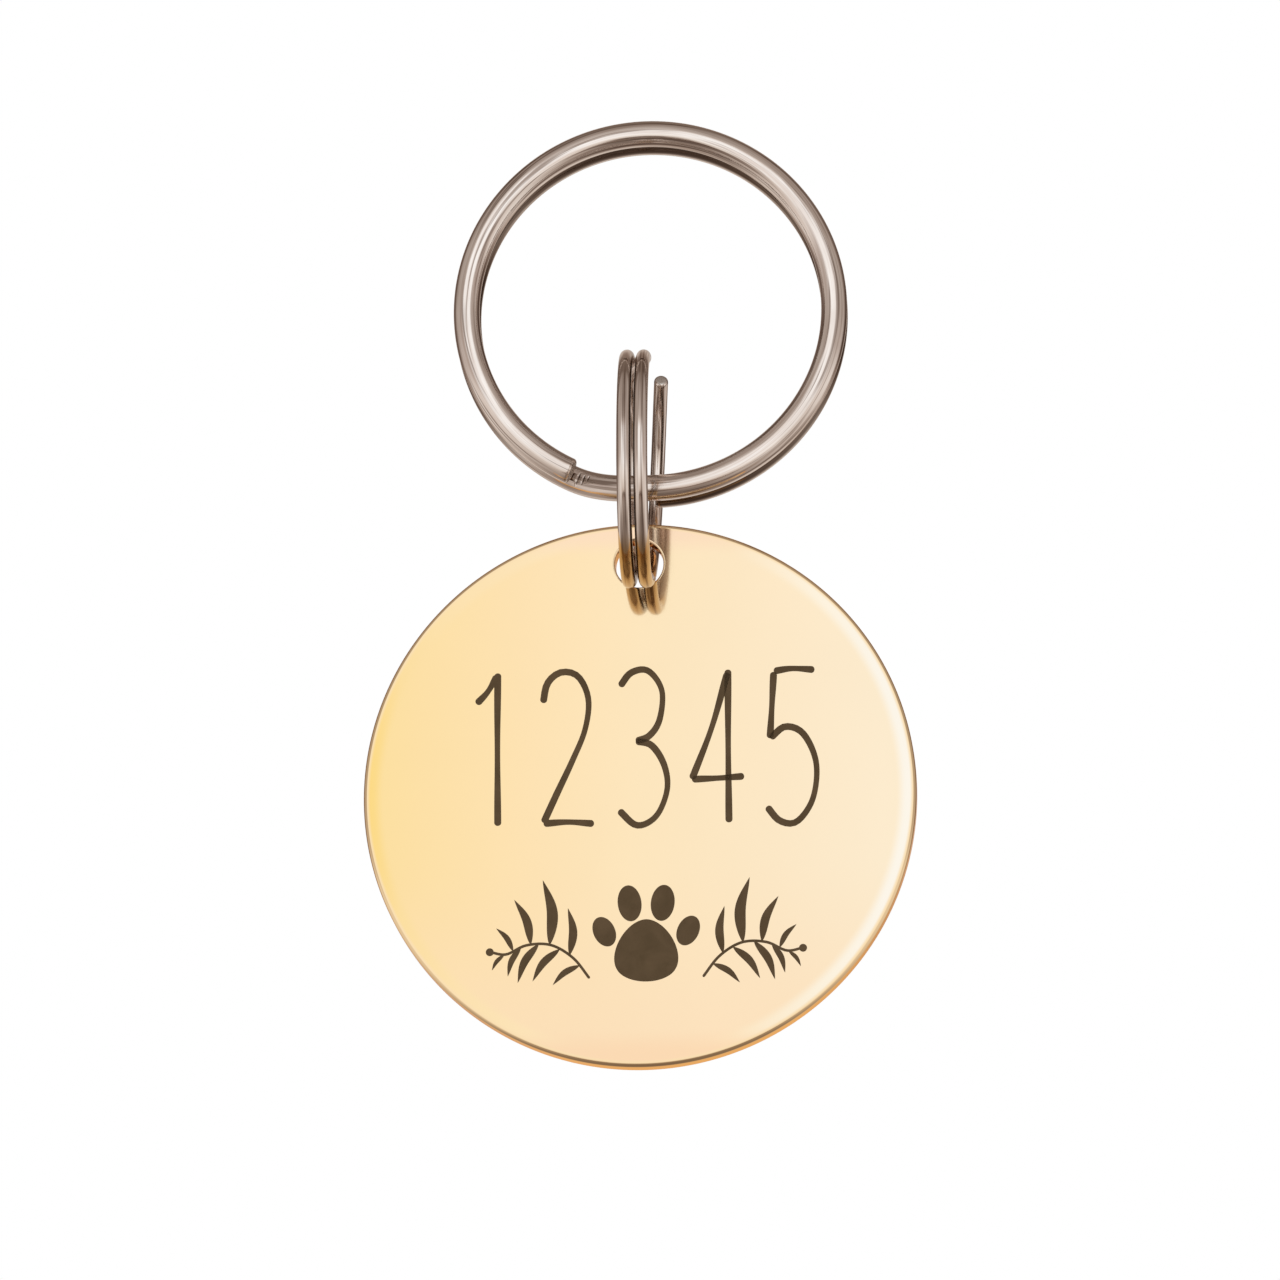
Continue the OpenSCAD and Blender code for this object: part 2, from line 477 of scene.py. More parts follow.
@dataclass(frozen=True)
class PlatedWire:
    """Nickel plate on drawn spring wire: lines along the wire, a duller sheared end, painted shade
    in the seam between the turns and a painted gold reflection of the brass low down.

    Places along the wire are in millimetres from its first end. At turns_at the back turn
    goes over to the front turn. The seam, where painted shade darkens the turns that face each
    other, is given as the sine of how far round the wire it is, and below a given height the
    wire is tinted gold, a painted reflection of the brass disc.
    """

    name: str
    turns_at: float
    colour: Colour = (0.95, 0.89, 0.845)
    shade_colour: Colour = (0.86, 0.79, 0.74)
    streak_colour: Colour = (0.74, 0.63, 0.565)
    # painted shade: the dark brown of the seam between the turns
    seam_shade_colour: Colour = (0.12, 0.075, 0.05)
    line_colour: Colour = (0.32, 0.245, 0.205)
    sheared_colour: Colour = (0.60, 0.56, 0.52)
    edge_colour: Colour = (0.84, 0.77, 0.71)
    lines_round: float = 22.0
    seam: Pair = (-0.12, 0.5)
    shade_fades_near_step: Pair = (2.2, 6.5)
    sprung: Pair | None = None
    # painted reflection: the gold that the lower wire mirrors from the brass disc
    disc_reflection_tone: Colour = (0.74, 0.59, 0.35)
    disc_reflection_below: float | None = None
    disc_reflection_fades: float = 0.9
    nicks: tuple[Nick, ...] = ()
    nick_depth: float = 0.06
    roughness: float = 0.07

    def make(self, effects: Effects) -> Material:
        """Builds the material.

        Args:
            effects: The shared node groups.

        Returns:
            The plate. It reads the wire's UV map, in millimetres along the wire and in
            turns round it, and its cut_end attribute.
        """
        material, sheet = new_material(self.name)
        along = sheet.add("UVMap", {"uv_map": "wire"}).outputs[0]
        at = sheet.add("TexCoord").outputs["Object"]
        dull = sheet.effect(effects.tarnish, at, 260.0)
        hair = sheet.effect(effects.hairlines, at, 1500.0)
        lines = sheet.drawn_noise(along, (0.16, 30.0, 1.0), 4.0, 0.65)
        tint = sheet.ramp(dull.outputs["Mask"], (0.36, self.shade_colour), (0.56, self.colour))
        streak = sheet.ramp(lines, (0.42, (0, 0, 0)), (0.62, (0.8, 0.8, 0.8)))
        tint = sheet.mix(streak, tint, self.streak_colour)
        thin = sheet.drawn_noise(along, (0.11, self.lines_round, 1.0), 3.0, 0.6)
        line = sheet.ramp(thin, (0.52, (0, 0, 0)), (0.62, (0.9, 0.9, 0.9)))
        tint = sheet.mix(line, tint, self.line_colour)
        # painted reflection: below the given height the wire is tinted gold, as if it mirrored the
        # brass disc
        if self.disc_reflection_below is not None:
            height = sheet.add("SeparateXYZ", Vector=at).outputs["Z"]
            start, end = self.disc_reflection_below * MM, (self.disc_reflection_below - self.disc_reflection_fades) * MM
            reflected_gold = sheet.mix(1.0, tint, self.disc_reflection_tone, "MULTIPLY")
            tint = sheet.mix(sheet.smooth(height, start, end), tint, reflected_gold)
        # painted shade: the seam between the two turns is darkened
        tint = sheet.mix(self.seam_shade(sheet, along), tint, self.seam_shade_colour)
        sheared = sheet.add("Attribute", {"attribute_name": "cut_end"}).outputs["Fac"]
        tint = sheet.mix(sheared, tint, self.sheared_colour)
        rough = sheet.math("MULTIPLY_ADD", dull.outputs["Haze"], 0.05, self.roughness)
        rough = sheet.math("MULTIPLY_ADD", hair.outputs["Mask"], 0.06, rough)
        rough = sheet.math("MULTIPLY_ADD", sheared, 0.3, rough)
        bump = sheet.add("Bump", Strength=0.45, Distance=0.00001, Height=lines)
        for nick in self.nicks:
            level = sheet.math("SUBTRACT", 1.0, nick.mask(sheet, along))
            bump = sheet.add(
                "Bump", Strength=1.0, Distance=self.nick_depth * MM, Height=level,
                Normal=bump.outputs[0],
            )
        sheet.surface(
            Base_Color=tint, Metallic=1.0, Specular_Tint=self.edge_colour, Roughness=rough,
            Normal=bump.outputs[0],
        )
        return material

    def seam_shade(self, sheet: Sheet, along: Socket) -> Socket:
        """Masks the painted brown shade in the seam, where the two turns face each other.

        Args:
            sheet: The material's nodes.
            along: The wire UV map.

        Returns:
            The mask.
        """
        spot = sheet.add("SeparateXYZ", Vector=along)
        side = sheet.math("SINE", sheet.math("MULTIPLY", spot.outputs["Y"], math.tau))
        second = sheet.math("GREATER_THAN", spot.outputs["X"], self.turns_at)
        facing = sheet.math("MULTIPLY", side, sheet.math("MULTIPLY_ADD", second, -2.0, 1.0))
        seam = sheet.smooth(facing, *self.seam, ends=(0.0, 0.9))
        away = sheet.math("ABSOLUTE", sheet.math("SUBTRACT", spot.outputs["X"], self.turns_at))
        seam_shade = sheet.math("MULTIPLY", seam, sheet.smooth(away, *self.shade_fades_near_step))
        # the painted shade is weaker where the wire is sprung open and the turns stand apart
        if self.sprung is not None:
            less_shade_where_open = sheet.smooth(spot.outputs["X"], *self.sprung, ends=(1.0, 0.4))
            seam_shade = sheet.math("MULTIPLY", seam_shade, less_shade_where_open)
        return seam_shade


@dataclass(frozen=True)
class BurntOxide:
    """The matt brown film that marking burns into brass."""

    colour: Colour = (0.062, 0.040, 0.020)
    pale_colour: Colour = (0.082, 0.053, 0.028)

    def make(self, effects: Effects) -> Material:
        """Builds the material.

        Args:
            effects: The shared node groups.

        Returns:
            The oxide.
        """
        material, sheet = new_material("burnt_oxide")
        at = sheet.add("TexCoord").outputs["Object"]
        dull = sheet.effect(effects.tarnish, at, 900.0)
        rows = sheet.drawn_noise(at, (3000.0, 3000.0, 24000.0), 2.0, 0.5)
        tint = sheet.ramp(dull.outputs["Mask"], (0.3, self.colour), (0.7, self.pale_colour))
        rough = sheet.math("MULTIPLY_ADD", rows, 0.2, 0.6)
        bump = sheet.add("Bump", Strength=0.3, Distance=0.000004, Height=rows)
        sheet.surface(
            Base_Color=tint, Specular_IOR_Level=0.1, Roughness=rough, Normal=bump.outputs[0],
        )
        return material


# ---------- the pieces


@dataclass
class SplitRing:
    """Round wire wound twice round, stepping from its back turn to its front turn."""

    node: str
    body: str
    slot: str
    outside: float
    wire: float
    gap: float
    cut_at: float
    step: float
    place: Matrix
    opening: float = 0.0
    opening_turn: float = 360.0
    opening_power: float = 1.5
    bevel: float = 0.06
    rounding: float = 0.16
    sides: int = 40
    sections: tuple[int, int] = (20, 20)
    per_degree: int = 2
    thinned: float = 0.004
    end_on: float = 0.85

    @property
    def radius(self) -> float:
        """Radius of the ring to the middle of its wire."""
        return (self.outside - self.wire) / 2

    def height(self, angle: float) -> float:
        """Gives the height of the wire's middle over the ring's middle plane.

        Args:
            angle: How far round the wire it is, counted through both turns in degrees.

        Returns:
            The height, towards the front turn.
        """
        half = (self.wire + self.gap) / 2
        up = (angle - self.cut_at - 360) / self.step
        if up <= 0:
            return -half
        if up < 1:
            return -half + 2 * half * up * up * (3 - 2 * up)
        away = (angle - self.cut_at - 720 + self.opening_turn) / self.opening_turn
        return half + self.opening * max(away, 0.0) ** self.opening_power

    def middle_line(self) -> list[Vector]:
        """Gives the wire's middle line about the ring's own axis.

        Returns:
            Its points, from tip to tip.
        """
        tip = math.degrees(self.bevel / self.radius)
        first, last = self.cut_at + self.step - tip, self.cut_at + 720 + tip
        count = round(last - first) * self.per_degree
        points = []
        for at in range(count + 1):
            angle = first + (last - first) * at / count
            turn = math.radians(angle)
            points.append(Vector((
                self.radius * math.cos(turn), self.radius * math.sin(turn), self.height(angle),
            )))
        return points

    def straight_wire(self, length: float) -> Object:
        """Models the wire before it is wound: a rod with bevelled ends, in short lengths.

        Args:
            length: Its length.

        Returns:
            The rod, along X from the origin, with its wire UV map.
        """
        deselect_all()
        reach = self.wire / 2 - self.thinned
        bpy.ops.mesh.primitive_cylinder_add(
            vertices=self.sides, radius=reach, depth=length,
            location=(length / 2, 0, 0), rotation=(0, math.pi / 2, 0), calc_uvs=False,
        )
        rod = bpy.context.object
        rod.name = self.node.replace("split_ring", "wire")
        bpy.ops.object.transform_apply(location=True, rotation=True, scale=True)
        select_edges(rod, lambda a, b: abs(a.x - b.x) < NEAR)
        bpy.ops.mesh.bevel(offset=self.rounding, segments=6, profile=0.5, affect="EDGES")
        for cuts in self.sections:
            select_edges(rod, lambda a, b: abs(a.x - b.x) > self.rounding * 1.01)
            bpy.ops.mesh.subdivide(number_cuts=cuts - 1)
        bpy.ops.object.mode_set(mode="OBJECT")
        bpy.ops.object.shade_smooth_by_angle(angle=math.radians(40))
        self.write_uv(rod, length)
        return rod

    def write_uv(self, rod: Object, length: float) -> None:
        """Writes the wire UV map and the cut_end mask on the straight rod.

        Args:
            rod: The rod, along X.
            length: Its length.
        """
        mesh = rod.data
        layer = mesh.uv_layers.new(name="wire")
        mask = mesh.attributes.new("cut_end", "FLOAT", "FACE")
        for face in mesh.polygons:
            middle = face.center
            about = math.atan2(middle.z, middle.y) / math.tau
            mask.data[face.index].value = float(abs(face.normal.x) > self.end_on)
            for corner in face.loop_indices:
                spot = mesh.vertices[mesh.loops[corner].vertex_index].co
                turn = math.atan2(spot.z, spot.y) / math.tau
                turn += round(about - turn)
                layer.data[corner].uv = (spot.x, turn)

    def build(self, finish: Material) -> None:
        """Winds the wire and hangs it on its body.

        Args:
            finish: The material of the wire.
        """
        points = self.middle_line()
        length = sum((b - a).length for a, b in zip(points, points[1:]))
        rod = self.straight_wire(length)
        guide_line = bpy.data.curves.new("winding", "CURVE")
        guide_line.dimensions = "3D"
        guide_line.twist_mode = "Z_UP"
        spline = guide_line.splines.new("POLY")
        spline.points.add(len(points) - 1)
        for point, spot in zip(spline.points, points):
            point.co = (*spot, 1.0)
        guide = bpy.data.objects.new("winding", guide_line)
        bpy.context.scene.collection.objects.link(guide)
        wind = rod.modifiers.new("wind", "CURVE")
        wind.object = guide
        wind.deform_axis = "POS_X"
        apply_modifiers(rod)
        bpy.data.objects.remove(guide)
        settle(rod, self.place, finish)
        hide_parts(self.node)
        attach(rod, self.body)
        LOG.info("%s: %.1f mm of %.2f mm wire", rod.name, length, self.wire)


@dataclass
class TagDisc:
    """The round plate: rounded rim, and a hole near its top with rounded edges."""

    place: Matrix
    across: float = 24.998
    thick: float = 1.1
    edge: float = 0.2
    hole: float = 2.2
    hole_edge: float = 0.1
    hole_up: float = 10.65
    sides: int = 288
    hole_sides: int = 96

    def build(self, finish: Material) -> None:
        """Models the disc about its own middle, its front up, and hangs it.

        Args:
            finish: The material of the disc.
        """
        deselect_all()
        bpy.ops.mesh.primitive_cylinder_add(
            vertices=self.sides, radius=self.across / 2, depth=self.thick, calc_uvs=False,
        )
        disc = bpy.context.object
        disc.name = "tag_plate"
        select_edges(disc, lambda a, b: abs(a.z - b.z) < NEAR)
        bpy.ops.mesh.bevel(offset=self.edge, segments=8, profile=0.5, affect="EDGES")
        deselect_all()
        bpy.ops.mesh.primitive_cylinder_add(
            vertices=self.hole_sides, radius=self.hole / 2, depth=self.thick * 3, calc_uvs=False,
            location=(0, self.hole_up, 0),
        )
        cut_away(disc, bpy.context.object)
        reach = self.hole / 2 + 0.01

        def rim_of_hole(a: Vector, b: Vector) -> bool:
            """Picks the two edges of the bore."""
            level = abs(a.z - b.z) < NEAR and abs(abs(a.z) - self.thick / 2) < NEAR
            return level and all(math.hypot(p.x, p.y - self.hole_up) < reach for p in (a, b))

        select_edges(disc, rim_of_hole)
        bpy.ops.mesh.bevel(offset=self.hole_edge, segments=5, profile=0.5, affect="EDGES")
        bpy.ops.object.mode_set(mode="OBJECT")
        bpy.ops.object.shade_smooth()
        even = disc.modifiers.new("even", "WEIGHTED_NORMAL")
        even.mode = "FACE_AREA"
        even.weight = 100
        apply_modifiers(disc)
        settle(disc, self.place, finish)
        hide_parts("tag_disc")
        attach(disc, "tag")
        LOG.info("%s: %d faces", disc.name, len(disc.data.polygons))


class Taper(Enum):
    """How the width of a stroke runs along it."""

    ROUND = "round"
    LEAF = "leaf"
    OVAL = "oval"


@dataclass(frozen=True)
class Stroke:
    """One pass of the marking tool: a smooth line of a given width."""

    points: Line
    width: float
    taper: Taper = Taper.ROUND
    swell: float = 0.0

    def share(self, along: float, length: float) -> float:
        """Gives the share of the full width at a place along the stroke.

        Args:
            along: How far along it is, from 0 to 1.
            length: The stroke's length.

        Returns:
            The share, from 0 to about 1.
        """
        if self.taper is Taper.OVAL:
            return math.sqrt(max(1 - (2 * along - 1) ** 2, 0.0))
        if self.taper is Taper.LEAF:
            return math.sin(math.pi * along ** 0.8) ** 0.9 if 0 < along < 1 else 0.0
        cap = self.width / 2 / length
        near = min(along, 1 - along, cap) / cap
        round_end = math.sqrt(max(1 - (1 - near) ** 2, 0.0))
        return round_end * (1 + self.swell * math.sin(math.pi * (2.3 * along + self.width)))


@dataclass
class Marks:
    """A set of strokes on the front face of the disc, as a thin film on the metal."""

    name: str
    place: Matrix
    strokes: list[Stroke]
    face_at: float = 0.55
    proud: float = 0.006
    sunk: float = 0.02
    steps: int = 40
    parts: int = 12
    end_steps: int = 6
    oval_steps: int = 32

    def smooth_line(self, stroke: Stroke) -> list[Vector]:
        """Runs a smooth line through a stroke's points.

        Args:
            stroke: The stroke.

        Returns:
            The line, in short parts.
        """
        knots = [Vector(p) for p in stroke.points]
        knots = [2 * knots[0] - knots[1], *knots, 2 * knots[-1] - knots[-2]]
        line = []
        for a, b, c, d in zip(knots, knots[1:], knots[2:], knots[3:]):
            for part in range(self.parts):
                t = part / self.parts
                line.append(0.5 * (
                    2 * b + (c - a) * t + (2 * a - 5 * b + 4 * c - d) * t * t
                    + (3 * b - a - 3 * c + d) * t ** 3
                ))
        return [*line, knots[-2]]

    def stops(self, stroke: Stroke, length: float) -> list[float]:
        """Picks places along a stroke, closer together where its ends are round.

        Args:
            stroke: The stroke.
            length: Its length.

        Returns:
            The places, from 0 to 1.
        """
        if stroke.taper is Taper.OVAL:
            turns = (math.pi * at / self.oval_steps for at in range(self.oval_steps + 1))
            return [(1 - math.cos(turn)) / 2 for turn in turns]
        stops = {at / self.steps for at in range(self.steps + 1)}
        if stroke.taper is Taper.ROUND:
            cap = min(stroke.width / 2 / length, 0.5)
            for at in range(self.end_steps + 1):
                bend = 1 - math.cos(math.pi / 2 * at / self.end_steps)
                stops |= {cap * bend, 1 - cap * bend}
        return sorted(stops)

    def outline(self, stroke: Stroke) -> list[tuple[float, float, float]]:
        """Gives places along a stroke and its half width there.

        Args:
            stroke: The stroke.

        Returns:
            X, Y and the half width at each place.
        """
        line = self.smooth_line(stroke)
        gaps = [(q - p).length for p, q in zip(line, line[1:])]
        total = sum(gaps)
        runs = [sum(gaps[:i]) / total for i in range(len(line))]
        places = []
        for stop in self.stops(stroke, total):
            seat = min(bisect_right(runs, stop + 1e-9), len(gaps)) - 1
            part = (stop - runs[seat]) * total / gaps[seat]
            spot = line[seat].lerp(line[seat + 1], part)
            places.append((spot.x, spot.y, stroke.width / 2 * stroke.share(stop, total)))
        return places

    def lay(self, stroke: Stroke) -> Object:
        """Models one stroke as a flat ribbon with rounded ends.

        Args:
            stroke: The stroke.

        Returns:
            A closed strip, its top at the film's height.
        """
        places = self.outline(stroke)
        deselect_all()
        bpy.ops.mesh.primitive_plane_add(size=1.0, calc_uvs=False)
        strip = bpy.context.object
        bpy.ops.object.mode_set(mode="EDIT")
        mesh = bmesh.from_edit_mesh(strip.data)
        mesh.clear()
        bottom = self.face_at - self.sunk
        rails = []
        for at, (x, y, half) in enumerate(places):
            before, after = places[max(at - 1, 0)], places[min(at + 1, len(places) - 1)]
            way = Vector((after[0] - before[0], after[1] - before[1])).normalized()
            side = Vector((-way.y, way.x)) * half
            ends = [
                mesh.verts.new((x + sign * side.x, y + sign * side.y, bottom))
                for sign in ((0,) if half < NEAR else (1, -1))
            ]
            rails.append((ends[0], ends[-1]))
        for (a, b), (c, d) in zip(rails, rails[1:]):
            mesh.faces.new(list(dict.fromkeys((b, a, c, d))))
        bmesh.update_edit_mesh(strip.data)
        bpy.ops.mesh.select_all(action="SELECT")
        bpy.ops.mesh.normals_make_consistent(inside=False)
        bpy.ops.mesh.extrude_region_move(
            TRANSFORM_OT_translate={"value": (0, 0, self.sunk + self.proud)}
        )
        bpy.ops.mesh.select_all(action="SELECT")
        bpy.ops.mesh.normals_make_consistent(inside=False)
        bpy.ops.object.mode_set(mode="OBJECT")
        return strip

    def build(self, finish: Material) -> None:
        """Lays every stroke, joins them into one piece and places it on the tag.

        Args:
            finish: The material of the film.
        """
        film = self.lay(self.strokes[0])
        film.name = self.name
        for stroke in self.strokes[1:]:
            cut_away(film, self.lay(stroke), "UNION")
        select_only(film)
        bpy.ops.object.shade_flat()
        settle(film, self.place, finish)
        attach(film, "tag")
        LOG.info("%s: %d strokes", film.name, len(self.strokes))


@dataclass
class NumberMarks:
    """Five tall plain figures across the upper half of the disc."""

    left: float = -8.3
    right: float = 8.6
    foot: float = -1.4
    tall: float = 7.05
    width: float = 0.285
    fill: float = 0.76
    swell: float = 0.12

    def figures(self) -> list[list[Line]]:
        """Gives the figures 1 to 5, each in a box one unit wide and one tall.

        Returns:
            The lines of each figure.
        """
        one = [((0.575, 1.0), (0.57, 0.6), (0.58, 0.0)),
               ((0.20, 0.80), (0.40, 0.88), (0.565, 0.985))]
        two = [((0.06, 0.80), (0.14, 0.93), (0.38, 1.0), (0.68, 0.97), (0.86, 0.82),
                (0.80, 0.62), (0.58, 0.42), (0.30, 0.20), (0.07, 0.015)),
               ((0.07, 0.01), (0.50, 0.018), (0.96, 0.005))]
        three = [((0.10, 0.90), (0.30, 0.99), (0.60, 1.0), (0.84, 0.87), (0.80, 0.68),
                  (0.62, 0.575), (0.38, 0.54)),
                 ((0.38, 0.54), (0.66, 0.51), (0.88, 0.38), (0.93, 0.22), (0.74, 0.05),
                  (0.40, -0.01), (0.08, 0.09))]
        four = [((0.69, 1.0), (0.69, 0.5), (0.70, 0.0)),
                ((0.68, 0.98), (0.40, 0.62), (0.05, 0.285)),
                ((0.05, 0.285), (0.50, 0.29), (0.97, 0.30))]
        five = [((0.18, 0.985), (0.50, 1.0), (0.90, 0.99)),
                ((0.18, 0.98), (0.14, 0.72), (0.11, 0.545)),
                ((0.115, 0.545), (0.38, 0.62), (0.70, 0.57), (0.92, 0.38), (0.86, 0.15),
                 (0.58, 0.0), (0.28, 0.005), (0.05, 0.10))]
        return [one, two, three, four, five]

    def strokes(self) -> list[Stroke]:
        """Sets the figures out across the disc.

        Returns:
            The strokes, in millimetres about the middle of the disc.
        """
        figures = self.figures()
        pitch = (self.right - self.left) / len(figures)
        wide = pitch * self.fill
        made = []
        for at, figure in enumerate(figures):
            start = self.left + pitch * at + (pitch - wide) / 2
            for line in figure:
                spots = tuple((start + x * wide, self.foot + y * self.tall) for x, y in line)
                made.append(Stroke(spots, self.width, swell=self.swell))
        return made


@dataclass
class SprigMarks:
    """A paw between two leafy sprigs, below the figures."""

    middle: Pair = (0.3, -6.35)
    line: float = 0.125
    dot: float = 0.36
    grow: float = 1.166
    leaf_width: float = 0.21
    leaf_bow: float = 0.09

    def paw(self) -> list[Stroke]:
        """Gives the pads of the paw.

        Returns:
            The strokes.
        """
        x, y = self.middle

        def pad(ends: Line, width: float) -> Stroke:
            """Gives one pad from its two ends and its width, about the paw's middle."""
            spots = tuple((x + a * self.grow, y + b * self.grow) for a, b in ends)
            return Stroke(spots, width * self.grow, Taper.OVAL)

        pads = [
            pad(((-1.18, -1.28), (1.18, -1.28)), 1.35), pad(((-0.98, -1.62), (0.25, 0.42)), 1.45),
            pad(((0.98, -1.62), (-0.25, 0.42)), 1.45),
        ]
        toes = ((-1.62, 0.02, 115, 1.22, 0.84), (-0.64, 1.12, 97, 1.42, 0.92),
                (0.64, 1.12, 83, 1.42, 0.92), (1.62, 0.02, 65, 1.22, 0.84))
        for across, up, lean, length, width in toes:
            way = Vector((math.cos(math.radians(lean)), math.sin(math.radians(lean))))
            at, half = Vector((across, up)), way * length / 2
            pads.append(pad((tuple(at - half), tuple(at + half)), width))
        return pads

    def sprig(self, side: int) -> list[Stroke]:
        """Gives one sprig: a stem, its leaves and the dot at its end.

        Args:
            side: 1 for the right of the paw, -1 for the left.

        Returns:
            The strokes.
        """
        x, y = self.middle
        stem = [(2.55, -2.1), (3.3, -1.15), (4.3, -0.55), (5.4, -0.55), (6.3, -0.95), (7.0, -0.85)]
        spots = tuple((x + side * a, y + b) for a, b in stem)
        made = [Stroke(spots, self.line)]
        across, up, half = x + side * 7.05, y - 0.84, self.dot / 2
        made.append(Stroke(((across - half, up), (across + half, up)), self.dot, Taper.OVAL))
        leaves = (
            (3.0, -1.5, -36, 1.5), (3.45, -1.02, 88, 2.15), (3.9, -0.75, -50, 1.9),
            (4.35, -0.55, 84, 3.0), (4.85, -0.5, -62, 2.0), (5.2, -0.52, 70, 2.2),
            (5.65, -0.64, -66, 1.45), (6.0, -0.8, 54, 1.3), (6.4, -0.97, -52, 0.9),
        )
        for across, up, lean, length in leaves:
            angle = math.radians(lean)
            root = Vector((x + side * across, y + up))
            way = Vector((side * math.cos(angle), math.sin(angle)))
            bow = Vector((-way.y, way.x)) * self.leaf_bow * length * side
            tip = root + way * length
            made.append(Stroke((tuple(root), tuple((root + tip) / 2 + bow), tuple(tip)),
                               self.leaf_width * length ** 0.8, Taper.LEAF))
        return made

    def strokes(self) -> list[Stroke]:
        """Gives the whole ornament."""
        return [*self.paw(), *self.sprig(-1), *self.sprig(1)]


# ---------- the studio


@dataclass
class LightTent:
    """The inside of a soft light tent round the object, seen only in its metal.

    Each profile gives the tent's colour by elevation, in degrees, in one direction,
    between dim ends. The steps are the azimuths over which each gives way to the next.
    """

    centre: Place
    radius: float = 0.5
    dim: Colour = (0.20, 0.15, 0.12)
    front: tuple[Stop, ...] = (
        (-62, (0.22, 0.17, 0.14)), (-46, (0.33, 0.265, 0.225)), (-40, (0.30, 0.22, 0.18)),
        (-37, (0.10, 0.06, 0.042)), (-34, (0.62, 0.53, 0.46)), (-20, (0.92, 0.88, 0.84)),
        (-6, (1.0, 1.0, 1.0)), (26, (1.0, 1.0, 1.0)), (32, (0.74, 0.68, 0.64)),
        (37, (0.52, 0.46, 0.42)), (60, (0.36, 0.30, 0.265)),
    )
    side: tuple[Stop, ...] = (
        (-60, (0.28, 0.22, 0.185)), (-45, (0.50, 0.43, 0.38)), (-28, (0.74, 0.68, 0.63)),
        (-8, (0.82, 0.77, 0.73)), (2, (0.56, 0.49, 0.45)), (8, (0.50, 0.43, 0.39)),
        (22, (0.44, 0.38, 0.34)), (60, (0.38, 0.32, 0.285)),
    )
    flank: tuple[Stop, ...] = (
        (-55, (0.27, 0.21, 0.175)), (-40, (0.44, 0.37, 0.325)), (-14, (0.76, 0.70, 0.65)),
        (-3, (0.42, 0.34, 0.295)), (6, (0.155, 0.11, 0.09)), (32, (0.155, 0.11, 0.09)),
        (60, (0.18, 0.135, 0.11)),
    )
    back: tuple[Stop, ...] = (
        (-52, (0.27, 0.21, 0.175)), (-38, (0.44, 0.37, 0.325)), (-20, (0.80, 0.74, 0.69)),
        (-8, (0.84, 0.79, 0.74)), (3, (0.60, 0.52, 0.47)), (16, (0.66, 0.60, 0.56)),
        (34, (0.62, 0.56, 0.52)), (46, (0.34, 0.27, 0.235)), (62, (0.20, 0.15, 0.12)),
    )
    steps: tuple[Pair, ...] = ((24.0, 46.0), (96.0, 118.0), (146.0, 164.0))

    def build(self) -> None:
        """Pitches the tent."""
        deselect_all()
        bpy.ops.mesh.primitive_uv_sphere_add(
            segments=96, ring_count=48, radius=self.radius, location=self.centre,
        )
        tent = bpy.context.object
        tent.name = "light_tent"
        bpy.ops.object.transform_apply(location=True)
        for ray in ("camera", "diffuse", "transmission", "shadow", "volume_scatter"):
            setattr(tent, f"visible_{ray}", False)
        tent.data.materials.append(self.cloth())

    def cloth(self) -> Material:
        """Makes the tent's glow from its four profiles.

        Returns:
            The material.
        """
        material, sheet = new_material("light_tent")
        material.cycles.emission_sampling = "NONE"
        spot = sheet.add("TexCoord").outputs["Object"]
        from_middle = sheet.add("VectorMath", {"operation": "SUBTRACT"}, spot, self.centre)
        way = sheet.add("VectorMath", {"operation": "NORMALIZE"}, from_middle.outputs[0])
        parts = sheet.add("SeparateXYZ", Vector=way.outputs[0])
        up = sheet.math("ARCSINE", parts.outputs["Z"])
        level = sheet.math("MULTIPLY_ADD", up, 1 / math.pi, 0.5)
        toward = sheet.math("MULTIPLY", parts.outputs["Y"], -1.0)
        away = sheet.math("ABSOLUTE", sheet.math("ARCTAN2", parts.outputs["X"], toward))
        colours = [
            sheet.ramp(level, *(((at + 90) / 180, colour) for at, colour in (
                (-90, self.dim), *profile, (88, self.dim),
            )))
            for profile in (self.front, self.side, self.flank, self.back)
        ]
        tint = colours[0]
        for (low, high), colour in zip(self.steps, colours[1:]):
            share = sheet.smooth(away, math.radians(low), math.radians(high))
            tint = sheet.mix(share, tint, colour)
        glow = sheet.add("Emission", Color=tint, Strength=1.0)
        sheet.add("OutputMaterial", Surface=glow.outputs[0])
        return material


def face_middle(
    data: bpy.types.ID, azimuth: float, elevation: float, distance: float, aim: Vector,
) -> Object:
    """Puts a lamp or the camera round a point, facing it.

    Args:
        data: The lamp's or camera's data, whose name the object takes.
        azimuth: Its direction round the point, 0 in front and 90 at the right.
        elevation: Its height over the point, in degrees.
        distance: Its distance, in metres.
        aim: The point, in metres.

    Returns:
        The new object.
    """
    a, e = math.radians(azimuth), math.radians(elevation)
    back = Vector((math.sin(a) * math.cos(e), -math.cos(a) * math.cos(e), math.sin(e)))
    placed = bpy.data.objects.new(data.name, data)
    placed.location = aim + back * distance
    placed.rotation_euler = back.to_track_quat("Z", "Y").to_euler()
    bpy.context.scene.collection.objects.link(placed)
    return placed


@dataclass(frozen=True)
class Lamp:
    """A soft square lamp, in metres, degrees and watts, that nothing shows or mirrors."""

    name: str
    azimuth: float
    elevation: float
    distance: float
    size: float
    power: float

    def build(self, middle: Vector) -> None:
        """Hangs the lamp so that it faces the object's middle.

        Args:
            middle: The object's middle, in metres.
        """
        data = bpy.data.lights.new(self.name, "AREA")
        data.shape = "SQUARE"
        data.size = self.size
        data.energy = self.power
        lamp = face_middle(data, self.azimuth, self.elevation, self.distance, middle)
        lamp.visible_glossy = False
        lamp.visible_camera = False


